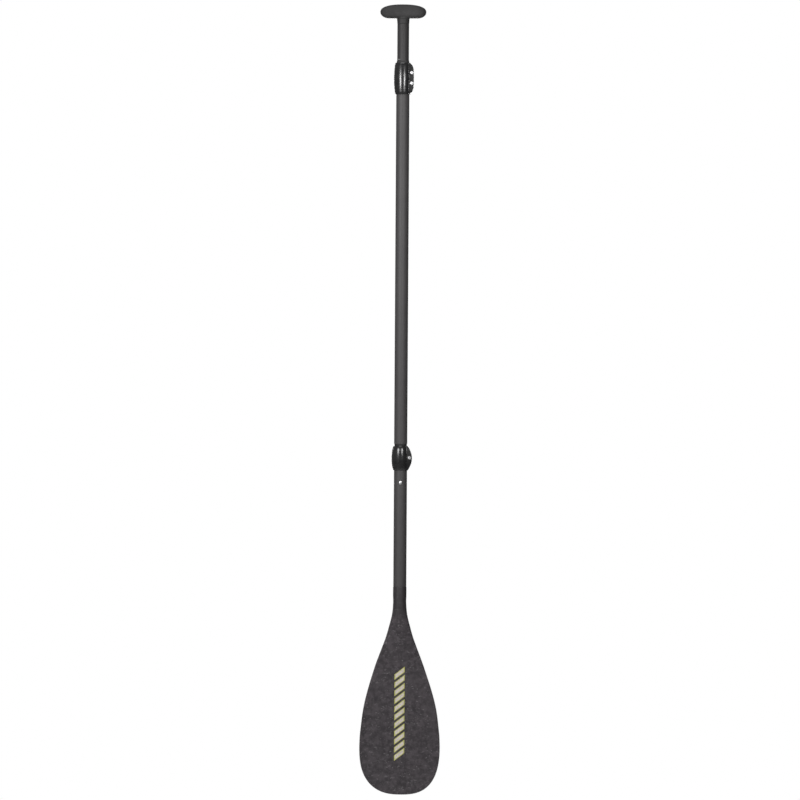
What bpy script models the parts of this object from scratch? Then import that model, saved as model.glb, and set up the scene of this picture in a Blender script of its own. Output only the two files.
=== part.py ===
"""Three-piece adjustable single blade paddle, as separate solids.

The frame: metres, +Z up along the shaft, with the origin on the shaft's axis at the flat underside of the
grip. -Y is the power face's side and +X is the side of the clamp lugs. The driving dimensions and the
helpers below are in millimetres, and every mesh is scaled to metres once, in solid().
"""

import math

import bmesh
import bpy
from mathutils import Matrix

MM = 0.001
ROUND = 32          # segments of the tubes and the other large turned pieces
SMALL_ROUND = 16    # segments of bolts, pins and the button
GAP = 0.3           # clearance between neighbouring solids

# Grip
GRIP_HALF_WIDTH = 52.4
GRIP_MIDDLE_Z = 14.0
GRIP_CROWN = 17.9
GRIP_BELLY = 15.3
GRIP_HALF_DEPTH = 16.5
GRIP_END_SHARE = 0.997
GRIP_TOP_POWER = 2.3
GRIP_UNDER_POWER = 3.2
COLLAR_TOP_R = 14.1
COLLAR_BOTTOM_R = 13.5
COLLAR_START = 0.5
COLLAR_END = -12.5
GRIP_SPIGOT_END = -62.0

# Tubes: outer radius, inner radius, top and bottom
HANDLE_R, HANDLE_BORE, HANDLE_TOP, HANDLE_END = 13.33, 11.7, COLLAR_END - GAP, -600.0
MAIN_R, MAIN_BORE, MAIN_TOP, MAIN_END = 15.0, 13.65, -106.0, -969.5
FERRULE_R, FERRULE_BORE, FERRULE_TOP, FERRULE_END = 13.35, 11.85, -870.0, -1100.0
BLADE_TUBE_R, BLADE_TUBE_BORE, BLADE_TUBE_TOP, BLADE_TUBE_END = 14.85, 13.65, -978.6, -1294.7
GROOVE_WIDTH = 5.0
GROOVE_FLOOR_R = 12.4
SLIT_WIDTH = 3.0
SEAL_R = 14.25

# Plugs inside the tubes
END_PLUG_LENGTH = 32.0
END_PLUG_BORE = 8.0
END_PLUG_ROOF = 8.0
END_PLUG_FLANGE = 5.0
FOAM_PLUG_LENGTH = 24.0
FOAM_PLUG_WALL = 3.0
FOAM_PLUG_ROOF = 4.0

# Clamps
EAR_FRONT_Y = -15.0
EAR_BACK_Y = 6.5
EAR_CORNER = 24.0
EAR_BLEND = 40.0
BOLT_X = 20.0
BOLT_HEAD_R = 3.8
BOLT_SHANK_R = 2.0
BOLT_HEAD_Y = (-16.3, -13.0)
PIN_Y = 13.7
PIN_R = 3.3
PIN_PLAY = 0.2
PIN_CHAMFER = 0.5
PIN_CENTRE = (BOLT_X, PIN_Y)
SADDLE_X = (16.6, 24.4)
BOSS_R = 5.0
CAM_RELIEF = 0.35
KNUCKLE_SIDE_PLAY = 0.7
KNUCKLE_DEPTH_PLAY = 0.9
RECESS_R = 17.3
RECESS_END_PLAY = 0.5
LEVER_BAND_R = 17.7
LEVER_TIP_ANGLE = 166.0
LEVER_SHOULDER_ANGLE = 76.0
LEVER_SOFT_EDGE = 0.6
LINER_TOP = -96.4
LINER_STEP = -103.0
LINER_CHAMFER = 0.4
KEY_PLAY = 0.35

# Snap button
BUTTON_Z = -1057.3
BUTTON_R = 4.0
BUTTON_TIP_Y = -17.4
BUTTON_FLANGE_R = 5.4
BUTTON_FLANGE = 0.7
BUTTON_DOME = 1.6
BUTTON_BASE_Y = -9.6
SPRING_HALF_WIDTH = 3.5
SPRING_THICKNESS = 0.6
SPRING_BEND_R = 7.0
SPRING_BEND_DROP = 27.0
SPRING_BACK_Y = 10.5

# Blade
NECK_TOP = -1295.0
NECK_SPIGOT_TOP = -1235.0
NECK_SPIGOT_R = 13.35
NECK_BORE = 11.0
BLADE_LEAN = math.radians(10.0)
LEAN_START = -1335.0
LEAN_BEND = 60.0
FOIL_START = -1335.0
FOIL_FULL = -1440.0
RIDGE_END = -1545.0
WIDEST_Z = -1658.6
WIDEST = 91.9
TIP_Z = -1771.2
TIP_POWER = 2.6
BODY_SKEW = 1.6
SKEW_START, SKEW_END = -1450.0, -1600.0
TIP_SKEW = 4.6
TIP_SKEW_START = -1700.0
RIM_HALF = 1.7
SKIN = 0.9
EDGE_BAND = 4.0
HALF_WIDTHS = [(-1290, 15.3), (-1316, 15.25), (-1331, 14.9), (-1358, 17.4), (-1385, 24.0), (-1412, 31.8),
               (-1480, 56.8), (-1563, 81.0), (-1630, 90.4), (WIDEST_Z, WIDEST)]
THICKNESSES = [(-1290, 30.6), (-1316, 30.5), (-1331, 29.8), (-1358, 28.2), (-1385, 24.5), (-1412, 20.5),
               (-1480, 13.6), (-1563, 10.2), (-1658, 7.4), (-1730, 5.6), (TIP_Z, 4.6)]
CHORD = (0.0, 0.16, 0.34, 0.52, 0.7, 0.85, 0.95)
STATIONS = (-1316, -1331, -1344, -1358, -1371, -1385, -1398, -1412, -1440, -1470, -1500, -1530, -1563,
            -1600, -1630)
TIP_SHARES = (0.0, 0.25, 0.42, 0.57, 0.7, 0.8, 0.88, 0.935, 0.97, 0.99)


# Materials

def material(name, colour, roughness, metallic=0.0):
    """A Principled material, made once and shared by name."""
    made = bpy.data.materials.get(name)
    if made:
        return made
    made = bpy.data.materials.new(name)
    made.use_nodes = True
    shader = made.node_tree.nodes["Principled BSDF"]
    shader.inputs["Base Color"].default_value = (*colour, 1.0)
    shader.inputs["Roughness"].default_value = roughness
    shader.inputs["Metallic"].default_value = metallic
    made.diffuse_color = (*colour, 1.0)
    return made


def grip_plastic():
    return material("grip_plastic", (0.045, 0.044, 0.045), 0.55)


def shaft_composite():
    return material("shaft_composite", (0.085, 0.082, 0.083), 0.42)


def clamp_plastic():
    return material("clamp_plastic", (0.018, 0.018, 0.018), 0.18)


def bright_steel():
    return material("bright_steel", (0.72, 0.72, 0.73), 0.22, 1.0)


def dark_rubber():
    return material("dark_rubber", (0.02, 0.02, 0.02), 0.7)


def plug_foam():
    return material("plug_foam", (0.25, 0.25, 0.26), 0.8)


def blade_composite():
    return material("blade_composite", (0.06, 0.056, 0.06), 0.5)


# Helpers

def solid(name, shape, finish, origin=(0.0, 0.0, 0.0), smooth=True):
    """An object from a bmesh in millimetres, with its origin at the given point."""
    bmesh.ops.triangulate(shape, faces=shape.faces)
    bmesh.ops.recalc_face_normals(shape, faces=shape.faces)
    bmesh.ops.translate(shape, verts=shape.verts, vec=[-value for value in origin])
    bmesh.ops.scale(shape, verts=shape.verts, vec=(MM, MM, MM))
    mesh = bpy.data.meshes.new(name)
    shape.to_mesh(mesh)
    shape.free()
    if smooth:
        mesh.shade_smooth()
        mesh.set_sharp_from_angle(angle=math.radians(35))
    if finish:
        mesh.materials.append(finish)
    made = bpy.data.objects.new(name, mesh)
    made.location = [value * MM for value in origin]
    bpy.context.scene.collection.objects.link(made)
    return made


def helper(name, shape):
    """A cutter or an added shape for a Boolean, left out of the part itself."""
    made = solid(name, shape, None, smooth=False)
    made.hide_render = True
    made.display_type = "WIRE"
    return made


def combine(target, other, operation):
    change = target.modifiers.new(f"{operation.lower()}_{other.name}", "BOOLEAN")
    change.operation = operation
    change.object = other


def cut(target, other):
    combine(target, other, "DIFFERENCE")


def add(target, other):
    combine(target, other, "UNION")


def bridge(shape, low, high):
    """A band of faces between two loops of vertices of equal length."""
    for i in range(len(low)):
        j = (i + 1) % len(low)
        shape.faces.new((low[i], low[j], high[j], high[i]))


def loft(rings, closed=False):
    """A skin over rings of equal length. Open ends are capped; closed, the last ring joins the first."""
    shape = bmesh.new()
    loops = [[shape.verts.new(point) for point in ring] for ring in rings]
    pairs = list(zip(loops, loops[1:]))
    if closed:
        pairs.append((loops[-1], loops[0]))
    for low, high in pairs:
        bridge(shape, low, high)
    if not closed:
        shape.faces.new(loops[0][::-1])
        shape.faces.new(loops[-1])
    return shape


def circle(radius, z, segments=ROUND, centre=(0.0, 0.0)):
    steps = [math.tau * i / segments for i in range(segments)]
    return [(centre[0] + radius * math.cos(a), centre[1] + radius * math.sin(a), z) for a in steps]


def turned(profile):
    """A ring about Z, from a closed profile of (radius, z) points that stays off the axis."""
    return loft([circle(radius, z) for radius, z in profile], closed=True)


def turned_solid(profile, segments=ROUND):
    """A solid about Z, from an open profile of (radius, z) points, with flat ends."""
    return loft([circle(radius, z, segments) for radius, z in profile])


def tube(outer, inner, top, end):
    return turned([(outer, top), (outer, end), (inner, end), (inner, top)])


def foam_plug(name, bore, top):
    """A plug for a tube of the given bore: a roof and a wall, open below."""
    outer = bore - GAP
    inner = outer - FOAM_PLUG_WALL
    end = top - FOAM_PLUG_LENGTH
    profile = [(outer, top), (outer, end), (inner, end), (inner, top - FOAM_PLUG_ROOF)]
    solid(name, turned_solid(profile), plug_foam())


def box(low, high):
    shape = bmesh.new()
    bmesh.ops.create_cube(shape, size=1.0)
    sides = [b - a for a, b in zip(low, high)]
    middle = [(a + b) / 2 for a, b in zip(low, high)]
    bmesh.ops.scale(shape, verts=shape.verts, vec=sides)
    bmesh.ops.translate(shape, verts=shape.verts, vec=middle)
    return shape


def along_y(shape, x, z):
    """Turns a shape made about +Z to lie along +Y, and moves it to the given x and z."""
    bmesh.ops.rotate(shape, verts=shape.verts, matrix=Matrix.Rotation(math.radians(-90), 3, "X"))
    bmesh.ops.translate(shape, verts=shape.verts, vec=(x, 0.0, z))
    return shape


def prism(outline, low, high):
    """An outline of (x, y) points, extruded along Z."""
    return loft([[(x, y, low) for x, y in outline], [(x, y, high) for x, y in outline]])


def arc(radius, start, end, steps, centre=(0.0, 0.0)):
    """Points on an arc, with its angles in degrees."""
    angles = [math.radians(start + (end - start) * i / steps) for i in range(steps + 1)]
    return [(centre[0] + radius * math.cos(a), centre[1] + radius * math.sin(a)) for a in angles]


def ease(value):
    """A smooth step from 0 to 1."""
    value = min(1.0, max(0.0, value))
    return value * value * (3.0 - 2.0 * value)


def through(points, z):
    """A smooth curve through (z, value) points that run downwards: a cubic Hermite with even tangents."""
    points = sorted(points)
    if z <= points[0][0]:
        return points[0][1]
    if z >= points[-1][0]:
        return points[-1][1]

    def slope(index):
        before = points[max(0, index - 1)]
        after = points[min(len(points) - 1, index + 1)]
        return (after[1] - before[1]) / (after[0] - before[0])

    index = max(i for i, point in enumerate(points) if point[0] <= z)
    (z0, v0), (z1, v1) = points[index], points[index + 1]
    span = z1 - z0
    t = (z - z0) / span
    return ((2 * t**3 - 3 * t**2 + 1) * v0 + (t**3 - 2 * t**2 + t) * span * slope(index)
            + (3 * t**2 - 2 * t**3) * v1 + (t**3 - t**2) * span * slope(index + 1))


# Handle: grip, tube and end plug

def grip_section(x):
    """One upright slice of the grip: a rounded shape that is flat where it reaches the underside."""
    steps = 20
    reach = abs(x) / GRIP_HALF_WIDTH
    crown = GRIP_CROWN * (1 - reach**2.4) ** (1 / 2.4)
    belly = GRIP_BELLY * (1 - reach**5.2) ** (1 / 1.8)
    depth = GRIP_HALF_DEPTH * (1 - reach**2.8) ** (1 / 2.2)
    points = []
    for i in range(steps):
        turn = math.tau * i / steps
        across, up = math.cos(turn), math.sin(turn)
        power, height = (2 / GRIP_TOP_POWER, crown) if up > 0 else (2 / GRIP_UNDER_POWER, belly)
        y = math.copysign(abs(across) ** power, across) * depth
        z = GRIP_MIDDLE_Z + math.copysign(abs(up) ** power, up) * height
        points.append((x, y, max(0.0, z)))
    return points


def build_grip():
    stations = 15
    turns = [math.pi * (i / (stations - 1) - 0.5) for i in range(stations)]
    slices = [grip_section(GRIP_HALF_WIDTH * GRIP_END_SHARE * math.sin(turn)) for turn in turns]
    body = solid("grip", loft(slices), grip_plastic())
    spigot_r = HANDLE_BORE - GAP
    stem = turned_solid([(COLLAR_TOP_R - 1.0, 6.0), (COLLAR_TOP_R, COLLAR_START),
                         (COLLAR_BOTTOM_R, COLLAR_END), (spigot_r, COLLAR_END),
                         (spigot_r, GRIP_SPIGOT_END + 2.0), (spigot_r - 1.5, GRIP_SPIGOT_END)])
    add(body, helper("grip_stem", stem))


def build_handle_shaft():
    shaft = solid("handle_shaft", tube(HANDLE_R, HANDLE_BORE, HANDLE_TOP, HANDLE_END), shaft_composite())
    groove = box((-GROOVE_WIDTH / 2, GROOVE_FLOOR_R, HANDLE_END - 5), (GROOVE_WIDTH / 2, 20, HANDLE_TOP + 5))
    cut(shaft, helper("anti_twist_groove", groove))


def build_handle_shaft_plug():
    plug_r = HANDLE_BORE - GAP
    flange_top = HANDLE_END - GAP
    foot = flange_top - END_PLUG_FLANGE
    top = HANDLE_END + END_PLUG_LENGTH
    profile = [(plug_r - 1.0, top), (plug_r, top - 2.0), (plug_r, flange_top), (HANDLE_R, flange_top),
               (HANDLE_R, foot), (END_PLUG_BORE, foot), (END_PLUG_BORE, top - END_PLUG_ROOF)]
    solid("handle_shaft_plug", turned_solid(profile), clamp_plastic())


# Main section: tube, ferrule, plugs, seal, snap button and spring

def slit(name, target, top, end):
    cut(target, helper(name, box((0, -SLIT_WIDTH / 2, end), (40, SLIT_WIDTH / 2, top))))


def build_main_shaft(clamp):
    shaft = solid("main_shaft", tube(MAIN_R, MAIN_BORE, MAIN_TOP, MAIN_END), shaft_composite())
    slit("main_shaft_slit", shaft, MAIN_TOP + 5, clamp["end"] + 5)


def front_hole(name, target, radius):
    hole = along_y(turned_solid([(radius, -25), (radius, 0)], SMALL_ROUND), 0, BUTTON_Z)
    cut(target, helper(name, hole))


def build_ferrule():
    ferrule = solid("main_shaft_ferrule", tube(FERRULE_R, FERRULE_BORE, FERRULE_TOP, FERRULE_END),
                    shaft_composite())
    front_hole("ferrule_button_hole", ferrule, BUTTON_R + GAP)
    foam_plug("ferrule_plug", FERRULE_BORE, FERRULE_TOP - 2)


def build_joint_seal(clamp):
    seal = tube(SEAL_R, FERRULE_R + GAP, MAIN_END - GAP, clamp["top"] + GAP)
    solid("joint_seal_ring", seal, dark_rubber())


def build_button():
    """The button's origin is on its own axis, in the middle of the base that rests on the spring."""
    tip = BUTTON_TIP_Y - BUTTON_BASE_Y
    profile = [(BUTTON_FLANGE_R, 0), (BUTTON_FLANGE_R, -BUTTON_FLANGE), (BUTTON_R, -BUTTON_FLANGE),
               (BUTTON_R, tip + BUTTON_DOME), (BUTTON_R * 0.8, tip + 0.6), (BUTTON_R * 0.35, tip)]
    shape = along_y(turned_solid(profile, SMALL_ROUND), 0, BUTTON_Z)
    bmesh.ops.translate(shape, verts=shape.verts, vec=(0, BUTTON_BASE_Y, 0))
    solid("spring_button", shape, bright_steel(), origin=(0, BUTTON_BASE_Y, BUTTON_Z))


def build_button_spring():
    """A bent strip: a front leg behind the button, a round bend below, and a back leg on the far wall."""
    front_y = BUTTON_BASE_Y + GAP + SPRING_THICKNESS / 2
    front_leg = [(front_y, BUTTON_Z + 8), (front_y, BUTTON_Z - 9)]
    bend = arc(SPRING_BEND_R, 190, 350, 8, centre=(0, BUTTON_Z - SPRING_BEND_DROP))
    back_leg = [(SPRING_BACK_Y, BUTTON_Z - 4), (SPRING_BACK_Y - 1.0, BUTTON_Z + 6)]
    path = front_leg + bend + back_leg
    sides = []
    for i, (y, z) in enumerate(path):
        before, after = path[max(0, i - 1)], path[min(len(path) - 1, i + 1)]
        run, rise = after[0] - before[0], after[1] - before[1]
        length = math.hypot(run, rise)
        shift = (-rise / length * SPRING_THICKNESS / 2, run / length * SPRING_THICKNESS / 2)
        sides.append(((y + shift[0], z + shift[1]), (y - shift[0], z - shift[1])))
    rings = []
    for (y1, z1), (y2, z2) in sides:
        rings.append([(-SPRING_HALF_WIDTH, y1, z1), (SPRING_HALF_WIDTH, y1, z1), (SPRING_HALF_WIDTH, y2, z2),
                      (-SPRING_HALF_WIDTH, y2, z2)])
    solid("button_spring", loft(rings), bright_steel())


# Clamps: each has a split body, bolts, a pin, a saddle plate and a cam lever

def upper_clamp():
    """The long clamp with two bolts, on the top of the main tube."""
    return {"name": "upper", "top": -101.0, "end": -173.4, "bolts": (-124.2, -147.9), "lever": 50.0,
            "boss": 42.0, "tube_r": MAIN_R, "step": LINER_STEP + GAP, "lip_r": 14.5,
            "radius": upper_radius, "ear": upper_ear}


def lower_clamp():
    """The short clamp with one bolt, on the top of the blade tube."""
    return {"name": "lower", "top": -974.0, "end": -1029.6, "bolts": (-1000.9,), "lever": 34.0,
            "boss": 24.0, "tube_r": BLADE_TUBE_R, "step": BLADE_TUBE_TOP + GAP, "lip_r": FERRULE_R + GAP,
            "radius": lower_radius, "ear": lower_ear}


def upper_radius(place):
    """The barrel's radius at a place along it, from -1 at its end to 1 at its top."""
    return 20.4 - 2.7 * place**2 - 1.5 * abs(place) ** 24


def upper_ear(place):
    """How far the ear reaches from the axis at a place along the clamp."""
    return 25.0 * max(0.0, 1 - abs(place) ** 3.9) ** (1 / 3.9)


def lower_radius(place):
    return 20.6 - 3.2 * place**2 - 1.5 * abs(place) ** 10


def lower_ear(place):
    return 25.9 * (1 - 0.37 * abs(place) ** 1.95)


def clamp_middle(clamp):
    return (clamp["top"] + clamp["end"]) / 2


def clamp_ring(clamp, place):
    """One level slice of the body: a round barrel, and an ear towards +X where it reaches further out."""
    half = (clamp["top"] - clamp["end"]) / 2
    z = clamp_middle(clamp) + place * half
    barrel = clamp["radius"](place)
    ear = clamp["ear"](place)
    fine = [-54 + 6 * i for i in range(19)]
    coarse = [66 + 12 * i for i in range(20)]
    points = []
    for angle in fine + coarse:
        along, across = math.cos(math.radians(angle)), math.sin(math.radians(angle))
        reach = barrel
        if along > 0.2 and ear > 1:
            fade = 0.55 + 0.45 * ear / clamp["ear"](0)
            side = fade * (EAR_FRONT_Y if across < 0 else EAR_BACK_Y)
            lug = ((along / ear) ** EAR_CORNER + (across / side) ** EAR_CORNER) ** (-1 / EAR_CORNER)
            reach = (barrel**EAR_BLEND + lug**EAR_BLEND) ** (1 / EAR_BLEND)
        points.append((reach * along, reach * across, z))
    return points


def recess_outline():
    """Behind the barrel, everything outside the band that the lever wraps, and behind the ear."""
    edge = math.degrees(math.asin(EAR_BACK_Y / RECESS_R))
    wall = arc(RECESS_R, edge, LEVER_TIP_ANGLE + 5, 16)
    end_x, end_y = wall[-1]
    return [(40, EAR_BACK_Y)] + wall + [(end_x * 2, end_y * 2), (-40, 40), (40, 40)]


def build_clamp_body(clamp):
    name = clamp["name"]
    half_places = (0.25, 0.5, 0.7, 0.84, 0.92, 0.97, 1.0)
    places = [-place for place in reversed(half_places)] + [0.0] + list(half_places)
    rings = [clamp_ring(clamp, place) for place in places]
    body = solid(f"{name}_clamp_body", loft(rings), clamp_plastic())
    bore_r = clamp["tube_r"] + GAP
    bore = turned_solid([(clamp["lip_r"], clamp["top"] + 5), (clamp["lip_r"], clamp["step"]),
                         (bore_r, clamp["step"]), (bore_r, clamp["end"] - 5)])
    cut(body, helper(f"{name}_bore", bore))
    slit(f"{name}_slit", body, clamp["top"] + 5, clamp["end"] - 5)
    half = clamp["lever"] / 2 + RECESS_END_PLAY
    middle = clamp_middle(clamp)
    cut(body, helper(f"{name}_recess", prism(recess_outline(), middle - half, middle + half)))
    for i, z in enumerate(clamp["bolts"]):
        seat = BOLT_HEAD_Y[1] + GAP
        profile = [(BOLT_HEAD_R + GAP, -30), (BOLT_HEAD_R + GAP, seat), (BOLT_SHANK_R + GAP, seat),
                   (BOLT_SHANK_R + GAP, 12)]
        hole = turned_solid(profile, SMALL_ROUND)
        cut(body, helper(f"{name}_bolt_hole_{i}", along_y(hole, BOLT_X, z)))


def build_bolts(clamp):
    name = clamp["name"]
    head_face, seat = BOLT_HEAD_Y
    labels = ("_top", "_bottom") if len(clamp["bolts"]) > 1 else ("",)
    for label, z in zip(labels, clamp["bolts"]):
        profile = [(BOLT_HEAD_R - 0.9, head_face), (BOLT_HEAD_R, head_face + 0.9), (BOLT_HEAD_R, seat),
                   (BOLT_SHANK_R, seat), (BOLT_SHANK_R, PIN_Y + 0.6), (BOLT_SHANK_R - 0.6, PIN_Y + 1.4)]
        shape = along_y(turned_solid(profile, SMALL_ROUND), BOLT_X, z)
        bolt = solid(f"{name}_clamp_bolt{label}", shape, bright_steel())
        socket = along_y(turned_solid([(1.8, head_face - 2), (1.8, head_face + 2)], 6), BOLT_X, z)
        cut(bolt, helper(f"{name}_socket{label}", socket))


def bolt_passage(clamp, target, radius, reach):
    """Cuts a way for each bolt through a piece, from the front as far as the given y."""
    for i, z in enumerate(clamp["bolts"]):
        hole = along_y(turned_solid([(radius, 0), (radius, reach)], SMALL_ROUND), BOLT_X, z)
        cut(target, helper(f"{target.name}_way_{i}", hole))


def build_pin(clamp):
    middle = clamp_middle(clamp)
    half = clamp["boss"] / 2
    ends = [(PIN_R - PIN_CHAMFER, middle + half), (PIN_R, middle + half - PIN_CHAMFER),
            (PIN_R, middle - half + PIN_CHAMFER), (PIN_R - PIN_CHAMFER, middle - half)]
    shape = loft([circle(radius, z, SMALL_ROUND, PIN_CENTRE) for radius, z in ends])
    pin = solid(f"{clamp['name']}_clamp_pin", shape, bright_steel())
    bolt_passage(clamp, pin, BOLT_SHANK_R + GAP, PIN_Y + 2.0)


def build_saddle(clamp):
    middle = clamp_middle(clamp)
    half = clamp["boss"] / 2 - 1
    low = (SADDLE_X[0], EAR_BACK_Y + GAP, middle - half)
    high = (SADDLE_X[1], PIN_Y - BOSS_R - GAP, middle + half)
    saddle = solid(f"{clamp['name']}_clamp_saddle", box(low, high), bright_steel(), smooth=False)
    bolt_passage(clamp, saddle, BOLT_SHANK_R + GAP, PIN_Y)


def lever_ring(clamp, z, shrink):
    """One level slice of the lever, anticlockwise from the tip's inner corner."""
    half = (clamp["top"] - clamp["end"]) / 2
    place = (z - clamp_middle(clamp)) / half
    outer = clamp["radius"](place) - shrink
    boss = BOSS_R - shrink
    inner_arc = arc(LEVER_BAND_R, LEVER_TIP_ANGLE, 52, 8)
    under_boss = arc(boss, 190, 300, 4, centre=PIN_CENTRE)
    # The cam's radius is less where it faces the saddle plate with the lever open.
    cam = arc(boss - CAM_RELIEF, 330, 390, 2, centre=PIN_CENTRE)
    top_boss = arc(boss, 55, 90, 2, centre=PIN_CENTRE)
    outer_arc = arc(outer, LEVER_SHOULDER_ANGLE, LEVER_TIP_ANGLE, 8)
    outline = inner_arc + under_boss + cam + top_boss + outer_arc
    return [(x, y, z) for x, y in outline]


def build_lever(clamp):
    """The lever's origin is on its pin, halfway up. Knuckle gaps let it swing past the bolts."""
    name = clamp["name"]
    middle = clamp_middle(clamp)
    half = clamp["lever"] / 2
    soft = LEVER_SOFT_EDGE
    levels = [(-half, soft), (-half + soft, 0.0), (-half / 2, 0.0), (0, 0.0), (half / 2, 0.0),
              (half - soft, 0.0), (half, soft)]
    shape = loft([lever_ring(clamp, middle + level, shrink) for level, shrink in levels])
    lever = solid(f"{name}_lever", shape, clamp_plastic(), origin=(BOLT_X, PIN_Y, middle))
    bore_ends = (middle - half - 5, middle + half + 5)
    bore = loft([circle(PIN_R + PIN_PLAY, z, SMALL_ROUND, PIN_CENTRE) for z in bore_ends])
    cut(lever, helper(f"{name}_lever_bore", bore))
    for side in (-1, 1):
        ends = sorted((middle + side * clamp["boss"] / 2, middle + side * (half + 5)))
        relief = box((BOLT_X - BOSS_R - 1.2, 0, ends[0]), (40, 40, ends[1]))
        cut(lever, helper(f"{name}_lever_relief_{side}", relief))
    for i, z in enumerate(clamp["bolts"]):
        gap_half = BOLT_SHANK_R + KNUCKLE_SIDE_PLAY
        gap_r = BOSS_R + KNUCKLE_DEPTH_PLAY
        levels = (z - gap_half, z + gap_half)
        ring = loft([circle(gap_r, level, SMALL_ROUND, PIN_CENTRE) for level in levels])
        cut(lever, helper(f"{name}_lever_gap_{i}", ring))


def build_upper_liner(clamp):
    """A split bush on the end of the main tube, with the key that runs in the handle tube's groove."""
    inner = HANDLE_R + GAP
    lip = clamp["lip_r"] - GAP
    foot = MAIN_TOP + GAP
    shape = turned([(lip - LINER_CHAMFER, LINER_TOP), (lip, LINER_TOP - LINER_CHAMFER), (lip, LINER_STEP),
                    (MAIN_R, LINER_STEP), (MAIN_R, foot), (inner, foot), (inner, LINER_TOP)])
    liner = solid("upper_clamp_liner", shape, dark_rubber())
    key_half = GROOVE_WIDTH / 2 - KEY_PLAY
    key = box((-key_half, GROOVE_FLOOR_R + KEY_PLAY, foot + 0.1), (key_half, inner + 0.3, LINER_TOP - 1))
    add(liner, helper("liner_key", key))
    slit("liner_slit", liner, LINER_TOP + 5, foot - 5)


def build_clamp(clamp):
    build_clamp_body(clamp)
    build_bolts(clamp)
    build_pin(clamp)
    build_saddle(clamp)
    build_lever(clamp)


# Blade section: tube, plug, shell and core

def build_blade_shaft(clamp):
    shaft = solid("blade_shaft", tube(BLADE_TUBE_R, BLADE_TUBE_BORE, BLADE_TUBE_TOP, BLADE_TUBE_END),
                  shaft_composite())
    slit("blade_shaft_slit", shaft, BLADE_TUBE_TOP + 5, clamp["end"] + 5)
    front_hole("blade_shaft_button_hole", shaft, BUTTON_R + GAP)
    foam_plug("blade_shaft_plug", BLADE_TUBE_BORE, FERRULE_END - 50)


def blade_half_width(z):
    if z >= WIDEST_Z:
        return through(HALF_WIDTHS, z)
    down = (WIDEST_Z - z) / (WIDEST_Z - TIP_Z)
    return WIDEST * max(0.0, 1 - down**TIP_POWER) ** (1 / TIP_POWER)


def blade_centre(z):
    """Where the blade's middle lies: it leans away from the power face, and its tip is slightly skewed."""
    below = max(0.0, LEAN_START - z)
    lean = math.tan(BLADE_LEAN) * below * below / (below + LEAN_BEND)
    skew = BODY_SKEW * ease((SKEW_START - z) / (SKEW_START - SKEW_END))
    if z < TIP_SKEW_START:
        skew += (TIP_SKEW - BODY_SKEW) * ((TIP_SKEW_START - z) / (TIP_SKEW_START - TIP_Z)) ** 2
    return skew, lean


def blade_section(z, side=0.0, skin=0.0):
    """One level slice of the blade, inset from its edge and skin: round at the neck, a thin foil below."""
    half_width = blade_half_width(z) - side
    half_thick = through(THICKNESSES, z) / 2 - skin
    rim = max(0.3, RIM_HALF - skin)
    foil = ease((FOIL_START - z) / (FOIL_START - FOIL_FULL))
    sharp = 1 - ease((FOIL_FULL - z) / (FOIL_FULL - RIDGE_END))
    middle_x, middle_y = blade_centre(z)

    def height(u, ridged):
        rounded = half_thick * math.sqrt(1 - u * u)
        roof = sharp * (1 - abs(u)) + (1 - sharp) * (1 - u * u) ** 1.5 if ridged else (1 - u * u) ** 2
        return (1 - foil) * rounded + foil * (rim + (half_thick - rim) * roof)

    across = [-u for u in CHORD[:0:-1]] + list(CHORD)
    front = [(middle_x + u * half_width, middle_y - height(u, True), z) for u in across]
    back = [(middle_x - u * half_width, middle_y + height(u, False), z) for u in across]
    edge = (middle_x + half_width, middle_y, z)
    far_edge = (middle_x - half_width, middle_y, z)
    return front + [edge] + back + [far_edge]


def neck_ring(radius, z):
    """A round slice with the same number of points as blade_section()."""
    across = [-u for u in CHORD[:0:-1]] + list(CHORD)
    front = [(u * radius, -radius * math.sqrt(1 - u * u), z) for u in across]
    back = [(-x, -y, z) for x, y, z in front]
    return front + [(radius, 0, z)] + back + [(-radius, 0, z)]


def blade_levels(top, tip_share):
    """Heights from the top to the tip, closer together in the flare and round the tip."""
    upper = [z for z in STATIONS if z < top]
    shares = [share for share in TIP_SHARES if share < tip_share] + [tip_share]
    return [top] + upper + [WIDEST_Z - share * (WIDEST_Z - TIP_Z) for share in shares]


def cavity_inset(z):
    """How far the skin's inner face lies in from the edge and from the surface."""
    foil = ease((FOIL_START - z) / (FOIL_START - FOIL_FULL))
    return EDGE_BAND, SKIN * foil + EDGE_BAND * (1 - foil)


def build_blade_shell():
    outside = [neck_ring(NECK_SPIGOT_R, NECK_SPIGOT_TOP), neck_ring(NECK_SPIGOT_R, NECK_TOP)]
    outside += [blade_section(z) for z in blade_levels(NECK_TOP, 0.998)]
    inside = [blade_section(z, *cavity_inset(z)) for z in blade_levels(NECK_TOP, 0.93)]
    inside = inside[1:][::-1] + [neck_ring(NECK_BORE, NECK_TOP), neck_ring(NECK_BORE, NECK_SPIGOT_TOP)]
    shape = bmesh.new()
    loops = [[shape.verts.new(point) for point in ring] for ring in outside + inside]
    turn = len(outside) - 1
    pairs = [(a, b) for i, (a, b) in enumerate(zip(loops, loops[1:])) if i != turn] + [(loops[-1], loops[0])]
    for low, high in pairs:
        bridge(shape, low, high)
    shape.faces.new(loops[turn])
    shape.faces.new(loops[turn + 1][::-1])
    solid("blade_shell", shape, blade_composite())


def build_blade_core():
    rings = []
    for z in blade_levels(-1305, 0.9):
        side, skin = cavity_inset(z)
        rings.append(blade_section(z, side + 1.2, skin + GAP))
    solid("blade_core", loft(rings), plug_foam())


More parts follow.
